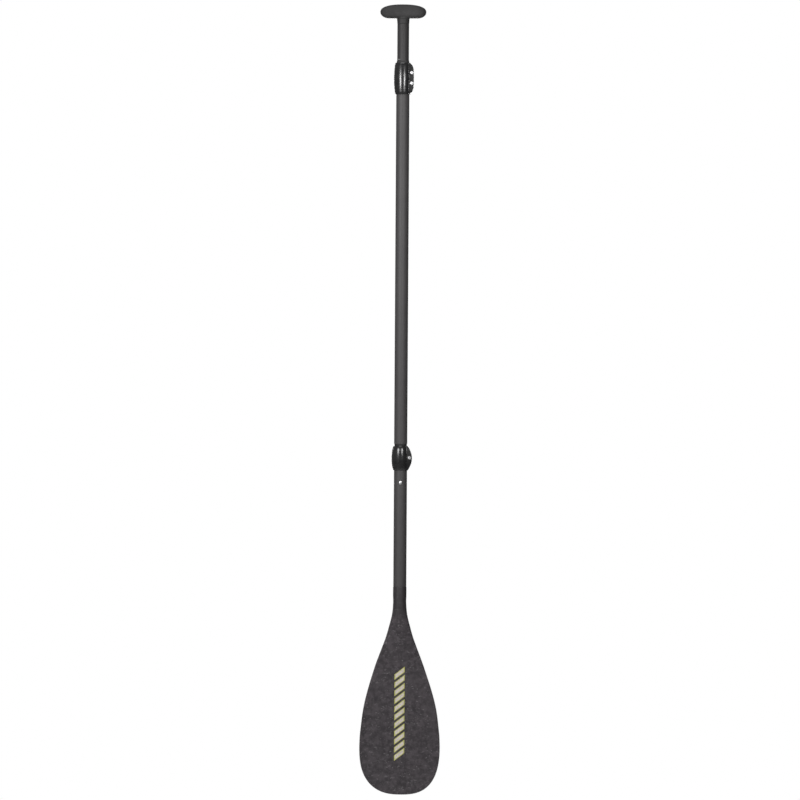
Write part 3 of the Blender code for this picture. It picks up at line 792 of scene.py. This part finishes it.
def clamp_facts(name, body, bolts, radius, ear):
    """What the frame says of one clamp, in millimetres."""
    low, high = corners(f"{name}_clamp_body")
    lever_low, lever_high = corners(f"{name}_lever")
    pin_low, pin_high = corners(f"{name}_clamp_pin")
    return {"name": name, "body": body, "low": low.z, "high": high.z, "middle": (low.z + high.z) / 2,
            "half": (high.z - low.z) / 2, "lever_half": (lever_high.z - lever_low.z) / 2,
            "boss_half": (pin_high.z - pin_low.z) / 2, "pin": (pin_low + pin_high) / 2,
            "pin_r": (pin_high.x - pin_low.x) / 2, "bolts": bolts, "radius": radius, "ear": ear}


def clamp_ring(clamp, place):
    """One level slice of the body: a round barrel, and an ear towards +X where it reaches further out."""
    z = clamp["middle"] + place * clamp["half"]
    barrel = clamp["radius"](place)
    ear = clamp["ear"](place)
    across_ear = [-60 + 90 * i / 240 for i in range(240)]
    round_barrel = [30 + 270 * i / 180 for i in range(180)]
    points = []
    for angle in across_ear + round_barrel:
        along, across = math.cos(math.radians(angle)), math.sin(math.radians(angle))
        reach = barrel
        if along > 0.2 and ear > 1:
            fade = 1 - EAR_FADE + EAR_FADE * ear / clamp["ear"](0)
            side = fade * (EAR_FRONT_Y if across < 0 else EAR_BACK_Y)
            lug = ((along / ear) ** EAR_CORNER + abs(across / side) ** EAR_CORNER) ** (-1 / EAR_CORNER)
            reach = (barrel**EAR_BLEND + lug**EAR_BLEND) ** (1 / EAR_BLEND)
        points.append((reach * along, reach * across, z))
    return points


def recess_outline():
    """Behind the barrel, everything outside the band that the lever wraps, and behind the ear."""
    edge = math.degrees(math.asin(EAR_BACK_Y / RECESS_R))
    wall = arc(RECESS_R, edge, LEVER_TIP_ANGLE + 5, 60)
    end_x, end_y = wall[-1]
    return [(FAR, EAR_BACK_Y)] + wall + [(end_x * 2, end_y * 2), (-FAR, FAR), (FAR, FAR)]


def clamp_bore(clamp):
    """The stepped bore, with a chamfer at each mouth."""
    chamfer = 0.7
    top, end = clamp["high"], clamp["low"]
    if clamp["name"] == "upper":
        lip_r, step = LINER_LIP_R + GAP, LINER_STEP + GAP
        bore_r = corners("main_shaft")[1].y + GAP
    else:
        tube_high = corners("blade_shaft")[1]
        lip_r, step = corners("main_shaft_ferrule")[1].x + GAP, tube_high.z + GAP
        bore_r = tube_high.y + GAP
    return turned_solid([(lip_r + chamfer + PAST, top + PAST), (lip_r, top - chamfer), (lip_r, step),
                         (bore_r, step), (bore_r, end + chamfer), (bore_r + chamfer + PAST, end - PAST)])


def bolt_seats(clamp):
    """Countersunk wells for the bolt heads, with a clearance hole behind each."""
    for bolt in clamp["bolts"]:
        low, high = corners(bolt)
        centre = middle(bolt)
        head_r = (high.x - low.x) / 2 + GAP
        shank_r = BOLT_SHANK_R + GAP
        seat_y = low.y + BOLT_HEAD_DEPTH + GAP
        well = turned_solid([(head_r + 8.0, EAR_FRONT_Y - 7.5), (head_r, EAR_FRONT_Y + 0.5), (head_r, seat_y),
                             (shank_r, seat_y), (shank_r, EAR_BACK_Y + PAST)], SMALL_ROUND)
        yield along_y(well, centre.x, centre.z)


def build_clamp_body(clamp):
    """The split body: barrel and ear, less its bore, its slit, the lever's recess and the bolts' seats."""
    name = clamp["name"]
    places = [math.sin(math.pi / 2 * (i / 40 - 1)) for i in range(81)]
    shell = loft([clamp_ring(clamp, place) for place in places])
    recess_half = clamp["lever_half"] + RECESS_END_PLAY
    recess = prism(recess_outline(), clamp["middle"] - recess_half, clamp["middle"] + recess_half)
    whole_slit = slit(clamp["low"] - PAST, clamp["high"] + PAST)
    body = carved(shell, clamp_bore(clamp), whole_slit, recess, *bolt_seats(clamp))
    piece(f"{name}_clamp_shell", body, clamp_finish, clamp["body"], f"{name}_clamp_body")


def build_bolts(clamp):
    """Round-headed bolts with a hexagon socket."""
    for bolt in clamp["bolts"]:
        low, high = corners(bolt)
        centre = middle(bolt)
        head_r = (high.x - low.x) / 2
        face, seat = low.y, low.y + BOLT_HEAD_DEPTH
        head = soften([(head_r - 1.6, face), (head_r, face), (head_r, seat), (BOLT_SHANK_R, seat),
                       (BOLT_SHANK_R, high.y)], 0.7)
        end = [(BOLT_SHANK_R, high.y - 0.6), (BOLT_SHANK_R - 0.5, high.y)]
        shape = turned_solid([(2.6, face + 0.02)] + head[1:-1] + end, SMALL_ROUND)
        socket = turned_solid([(3.0, face - 0.7), (2.1, face + 0.2), (1.95, face + 2.2)], 6)
        screw = carved(along_y(shape, centre.x, centre.z), along_y(socket, centre.x, centre.z))
        piece(f"{bolt}_screw", screw, steel_finish, clamp["body"], bolt, sharp=28)


def bolt_passages(clamp, radius, reach):
    """Cutters for each bolt's way through a piece, from the axis as far as the given y."""
    for bolt in clamp["bolts"]:
        centre = middle(bolt)
        yield along_y(turned_solid([(radius, 0), (radius, reach)], SMALL_ROUND), centre.x, centre.z)


def build_pin(clamp):
    """The cross pin, with a centre mark in each end and a threaded way for each bolt."""
    name = clamp["name"]
    centre, radius, half = clamp["pin"], clamp["pin_r"], clamp["boss_half"]
    profile = soften([(0.8, half - 0.6), (1.2, half), (radius, half), (radius, -half), (1.2, -half),
                      (0.8, -half + 0.6)], 0.5)
    rings = [circle(r, centre.z + z, SMALL_ROUND, (centre.x, centre.y)) for r, z in profile]
    pin = carved(loft(rings), *bolt_passages(clamp, BOLT_SHANK_R + GAP, centre.y + 2.0))
    piece(f"{name}_cross_pin", pin, steel_finish, clamp["body"], f"{name}_clamp_pin")


def build_saddle(clamp):
    """The steel plate that the cam presses on, with round corners and softened faces."""
    name = clamp["name"]
    low, high = corners(f"{name}_clamp_saddle")
    centre = (low + high) / 2
    outline = soften([(low.x, low.z), (high.x, low.z), (high.x, high.z), (low.x, high.z)], 1.6, closed=True)
    levels = [(0.96, low.y), (1.0, low.y + 0.25), (1.0, high.y - 0.25), (0.96, high.y)]
    plate = loft([[(centre.x + (x - centre.x) * share, y, centre.z + (z - centre.z) * share)
                   for x, z in outline] for share, y in levels])
    plate = carved(plate, *bolt_passages(clamp, BOLT_SHANK_R + GAP + 0.1, clamp["pin"].y))
    piece(f"{name}_saddle_plate", plate, steel_finish, clamp["body"], f"{name}_clamp_saddle")


def finger_ribs(angle, fade):
    """How far the ribs near the lever's tip stand out, at an angle round the barrel in degrees."""
    if not RIBS_START < angle < RIBS_END:
        return 0.0
    return RIB_HEIGHT * fade * math.sin(math.pi * (angle - RIBS_START) / RIB_PITCH) ** 2


def lever_outer(angle, outer, fade):
    """The lever's outer radius at an angle: it is drawn in at the tip and carries the ribs."""
    full = ease((LEVER_TIP_ANGLE - angle) / 3.0) ** 0.5
    return outer - 0.9 * (1 - full) + finger_ribs(angle, fade)


def lever_ring(clamp, level, shrink):
    """One level slice of the lever, anticlockwise from the tip's inner corner."""
    outer = clamp["radius"](level / clamp["half"]) - shrink
    boss = BOSS_R - shrink
    pin = (clamp["pin"].x, clamp["pin"].y)
    inner_arc = arc(LEVER_BAND_R, LEVER_TIP_ANGLE - 1.5, 52, 60)
    under_boss = arc(boss, 190, 300, 24, pin)
    # The cam's radius is less where it faces the saddle plate with the lever open.
    cam = arc(boss - CAM_RELIEF, 330, 390, 12, pin)
    top_boss = arc(boss, 55, 90, 10, pin)
    outline = inner_arc + under_boss + cam + top_boss
    fade = ease((clamp["lever_half"] - 2.5 - abs(level)) / 3.0)
    steps = 120
    for i in range(steps + 1):
        angle = LEVER_SHOULDER_ANGLE + (LEVER_TIP_ANGLE - LEVER_SHOULDER_ANGLE) * i / steps
        reach = lever_outer(angle, outer, fade)
        outline.append((reach * math.cos(math.radians(angle)), reach * math.sin(math.radians(angle))))
    return [(x, y, clamp["middle"] + level) for x, y in outline]


def lever_levels(half):
    """Heights along the lever, each with how far the outline is drawn in: a quarter round at both ends."""
    soft = LEVER_SOFT_EDGE
    turns = [math.radians(angle) for angle in range(0, 91, 18)]
    corner = [(half - soft + soft * math.sin(turn), soft - soft * math.cos(turn)) for turn in turns]
    inner = [((half - soft) * i / 20, 0.0) for i in range(20)]
    upper = inner + corner
    return [(-level, shrink) for level, shrink in reversed(upper[1:])] + upper


def build_lever(clamp):
    """The cam lever. Knuckle gaps let it swing past the bolts."""
    name = clamp["name"]
    half = clamp["lever_half"]
    pin = clamp["pin"]
    axis = (pin.x, pin.y)
    shape = loft([lever_ring(clamp, level, shrink) for level, shrink in lever_levels(half)])
    reach = half + PAST
    bore_ends = (pin.z - reach, pin.z + reach)
    cutters = [loft([circle(clamp["pin_r"] + PIN_PLAY, z, SMALL_ROUND, axis) for z in bore_ends])]
    for side in (-1, 1):
        ends = sorted((pin.z + side * clamp["boss_half"], pin.z + side * reach))
        cutters.append(box((pin.x - BOSS_R - 1.2, 0, ends[0]), (FAR, FAR, ends[1])))
    gap_half, gap_r = BOLT_SHANK_R + KNUCKLE_SIDE_PLAY, BOSS_R + KNUCKLE_DEPTH_PLAY
    for bolt in clamp["bolts"]:
        z = middle(bolt).z
        levels = (z - gap_half, z + gap_half)
        cutters.append(loft([circle(gap_r, level, SMALL_ROUND, axis) for level in levels]))
    lever = carved(shape, *cutters)
    piece(f"{name}_lever_moulding", lever, clamp_finish, f"{name}_lever", f"{name}_lever")


# Blade

def blade_half_width(z):
    """Follows the listed places down to the widest one, and a rounded curve from there to the tip."""
    if z >= WIDEST_Z:
        return through(HALF_WIDTHS, z)
    down = (WIDEST_Z - z) / (WIDEST_Z - TIP_Z)
    return WIDEST * max(0.0, 1 - down**TIP_POWER) ** (1 / TIP_POWER)


def blade_centre(z):
    """Where the blade's middle lies: it leans away from the power face, and its tip is a little askew."""
    below = max(0.0, LEAN_START - z)
    lean = math.tan(BLADE_LEAN) * below * below / (below + LEAN_BEND)
    skew = BODY_SKEW * ease((SKEW_START - z) / (SKEW_START - SKEW_END))
    if z < TIP_SKEW_START:
        skew += (TIP_SKEW - BODY_SKEW) * ((TIP_SKEW_START - z) / (TIP_SKEW_START - TIP_Z)) ** 2
    return skew, lean


def blade_height(z, u, ridged):
    """Half the blade's thickness at a share u of its half width: round at the neck, a thin foil below."""
    half_thick = through(THICKNESSES, z) / 2
    foil = ease((FOIL_START - z) / (FOIL_START - FOIL_FULL))
    sharp = 1 - ease((FOIL_FULL - z) / (FOIL_FULL - RIDGE_END))
    rounded = half_thick * math.sqrt(max(0.0, 1 - u * u))
    roof = sharp * (1 - abs(u)) + (1 - sharp) * (1 - u * u) ** 1.5 if ridged else (1 - u * u) ** 2
    rim_share = min(0.9, 1.2 * RIM_HALF / max(blade_half_width(z), 1.0))
    past = max(0.0, (abs(u) - 1 + rim_share) / rim_share)
    thin = (RIM_HALF + (half_thick - RIM_HALF) * roof) * math.sqrt(max(0.0, 1 - past * past))
    tip = min(1.0, (z - TIP_Z) / RIM_HALF)
    return ((1 - foil) * rounded + foil * thin) * math.sqrt(max(0.0, 1 - (1 - tip) ** 2))


def blade_ring(z):
    """One level slice of the blade: the ridged power face, then the plain back."""
    half_width = blade_half_width(z)
    middle_x, middle_y = blade_centre(z)
    front = [(middle_x + u * half_width, middle_y - blade_height(z, u, True), z) for u in ACROSS]
    back = [(middle_x - u * half_width, middle_y + blade_height(z, u, False), z) for u in ACROSS[1:-1]]
    return front + back


def neck_ring(radius, z):
    """A round slice with the same number of points as blade_ring()."""
    front = [(u * radius, -radius * math.sqrt(max(0.0, 1 - u * u)), z) for u in ACROSS]
    back = [(-x, -y, z) for x, y, z in front[1:-1]]
    return front + back


def build_blade():
    """The neck's spigot and sleeve, and the blade down to its tip, as one skin."""
    top = corners("blade_shell")[1].z
    neck_top = corners("blade_shaft")[0].z - GAP
    rings = [neck_ring(NECK_SPIGOT_R - 0.5, top), neck_ring(NECK_SPIGOT_R, top - 0.5),
             neck_ring(NECK_SPIGOT_R, neck_top), neck_ring(NECK_R - 0.4, neck_top),
             neck_ring(NECK_R - 0.1, neck_top - 0.15), neck_ring(NECK_R, neck_top - 0.5)]
    step = 3.0
    start = neck_top - step
    rings += [blade_ring(start - i * step) for i in range(int((start - WIDEST_Z) / step) + 1)]
    turns = [math.radians(angle) for angle in range(2, 88, 2)]
    rings += [blade_ring(WIDEST_Z + (TIP_Z - WIDEST_Z) * math.sin(turn)) for turn in turns]
    rings += [blade_ring(TIP_Z + left) for left in (0.05, 0.01)]
    piece("blade_moulding", loft(rings), blade_finish, "blade_section", "blade_shell", sharp=60)


def blade_front(x, z):
    """The depth of the power face at a place on it."""
    middle_x, middle_y = blade_centre(z)
    return middle_y - blade_height(z, (x - middle_x) / blade_half_width(z), True)


def stripe(top, border, lift):
    """One slanted printed stripe, wrapped on the power face, drawn in by a border on every side."""
    half_width = STRIPE_HALF_WIDTH - border
    height = STRIPE_HEIGHT - 2 * border
    columns, rows = 24, 6
    rings = []
    for i in range(columns + 1):
        across = half_width * (2 * i / columns - 1)
        x = STRIPES_X + across
        upper = top - border + STRIPE_SLANT * across / STRIPE_HALF_WIDTH
        face = [(blade_front(x, z), z) for z in (upper - height * j / rows for j in range(rows + 1))]
        rings.append([(x, y - lift, z) for y, z in face] + [(x, y + 0.3, z) for y, z in reversed(face)])
    return loft(rings)


def build_stripes():
    """Plain slanted stripes down the power face: a pale fill on a wider border."""
    border_ink = printed("stripe_border_ink", (0.50, 0.50, 0.13), (0.30, 0.30, 0.09))
    fill_ink = printed("stripe_fill_ink", (0.64, 0.58, 0.52), (0.38, 0.34, 0.29))
    for i in range(STRIPES):
        top = STRIPES_TOP - i * STRIPE_PITCH
        piece(f"stripe_border_{i + 1}", stripe(top, 0.0, 0.04), border_ink, "blade_section")
        piece(f"stripe_fill_{i + 1}", stripe(top, STRIPE_BORDER, 0.09), fill_ink, "blade_section")


# Pieces whose frame shape is kept

def finish_kept_nodes():
    kept = {"handle_shaft_plug": clamp_finish, "ferrule_plug": foam_finish, "blade_shaft_plug": foam_finish,
            "blade_core": foam_finish}
    for name, finish in kept.items():
        for material_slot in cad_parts[name].material_slots:
            material_slot.material = finish


# Stage

def add_light(name, place, target, size, power):
    """A soft rectangular light of a given width and height, which the camera doesn't see."""
    data = bpy.data.lights.new(name, "AREA")
    data.shape = "RECTANGLE"
    data.size, data.size_y = size
    data.energy = power
    made = bpy.data.objects.new(name, data)
    made.location = place
    made.rotation_mode = "QUATERNION"
    made.rotation_quaternion = (Vector(target) - made.location).to_track_quat("-Z", "Y")
    made.visible_camera = False
    bpy.context.scene.collection.objects.link(made)


def add_softbox(name, angle, height, size, power):
    """A light that faces the shaft, at an angle in degrees to the right of the camera."""
    turn = math.radians(angle)
    place = (LIGHT_DISTANCE * math.sin(turn), -LIGHT_DISTANCE * math.cos(turn), height)
    add_light(name, place, (0.0, 0.0, height), size, power)


def build_lights():
    """Two narrow lights make the clamps' highlights, one is overhead, and one is straight behind."""
    add_softbox("softbox_left", -32.0, -0.137, (0.50, 0.58), 45.0)
    add_softbox("softbox_right", 20.0, -0.137, (0.32, 0.58), 34.0)
    add_softbox("softbox_back", 180.0, -0.8, (1.0, 1.8), 42.0)
    add_light("overhead", (-0.2, -0.6, 1.4), (0.0, 0.0, 0.0), (1.2, 1.2), 16.0)


def build_floor():
    shape = bmesh.new()
    bmesh.ops.create_grid(shape, x_segments=8, y_segments=8, size=FLOOR_HALF)
    mesh = bpy.data.meshes.new("floor")
    shape.to_mesh(mesh)
    shape.free()
    mesh.materials.append(stage_white())
    floor = bpy.data.objects.new("floor", mesh)
    floor.location = (0.0, 0.0, cad_box[0].z - FLOOR_DROP)
    bpy.context.scene.collection.objects.link(floor)


def spread(tree, value, source, result):
    """Maps a socket's value from one range to another."""
    made = tree.nodes.new("ShaderNodeMapRange")
    made.inputs["From Min"].default_value, made.inputs["From Max"].default_value = source
    made.inputs["To Min"].default_value, made.inputs["To Max"].default_value = result
    tree.links.new(value, made.inputs["Value"])
    return made.outputs["Result"]


def build_world():
    """White where the camera looks past the paddle, and a soft uneven glow for everything else."""
    world = bpy.data.worlds.new("studio")
    world.use_nodes = True
    tree = world.node_tree
    tree.nodes.clear()
    direction = tree.nodes.new("ShaderNodeTexCoord")
    split = tree.nodes.new("ShaderNodeSeparateXYZ")
    tree.links.new(direction.outputs["Generated"], split.inputs["Vector"])
    strength = tree.nodes.new("ShaderNodeMath")
    strength.operation = "MULTIPLY"
    tree.links.new(spread(tree, split.outputs["X"], (-1.0, 1.0), GLOW_SIDE), strength.inputs[0])
    tree.links.new(spread(tree, split.outputs["Z"], GLOW_HEIGHT, GLOW_SHARE), strength.inputs[1])
    glow = tree.nodes.new("ShaderNodeBackground")
    tree.links.new(strength.outputs["Value"], glow.inputs["Strength"])
    seen = tree.nodes.new("ShaderNodeBackground")
    seen.inputs["Color"].default_value = (1.0, 1.0, 1.0, 1.0)
    path = tree.nodes.new("ShaderNodeLightPath")
    mix = tree.nodes.new("ShaderNodeMixShader")
    out = tree.nodes.new("ShaderNodeOutputWorld")
    tree.links.new(path.outputs["Is Camera Ray"], mix.inputs["Fac"])
    tree.links.new(glow.outputs["Background"], mix.inputs[1])
    tree.links.new(seen.outputs["Background"], mix.inputs[2])
    tree.links.new(mix.outputs["Shader"], out.inputs["Surface"])
    bpy.context.scene.world = world
    bpy.context.scene.view_settings.view_transform = "Standard"


def build_camera():
    """A long lens far off, level with the middle of the paddle."""
    data = bpy.data.cameras.new("camera")
    data.lens = data.sensor_width * CAMERA_DISTANCE / VIEW_HEIGHT
    data.clip_start, data.clip_end = 0.5, 100.0
    camera = bpy.data.objects.new("camera", data)
    x, z = VIEW_CENTRE
    level = Matrix.Rotation(math.radians(90), 4, "X") @ Matrix.Rotation(VIEW_ROLL, 4, "Z")
    camera.matrix_world = Matrix.Translation((x, -CAMERA_DISTANCE, z)) @ level
    bpy.context.scene.collection.objects.link(camera)
    bpy.context.scene.camera = camera


build_camera()
build_grip()
build_handle_shaft()
build_length_scale()
build_tubes()
build_liner()
build_seal()
build_button()
build_button_spring()
upper_bolts = ("upper_clamp_bolt_top", "upper_clamp_bolt_bottom")
for clamp in (clamp_facts("upper", "main", upper_bolts, upper_radius, upper_ear),
              clamp_facts("lower", "blade_section", ("lower_clamp_bolt",), lower_radius, lower_ear)):
    build_clamp_body(clamp)
    build_bolts(clamp)
    build_pin(clamp)
    build_saddle(clamp)
    build_lever(clamp)
build_blade()
build_stripes()
finish_kept_nodes()
build_floor()
build_lights()
build_world()
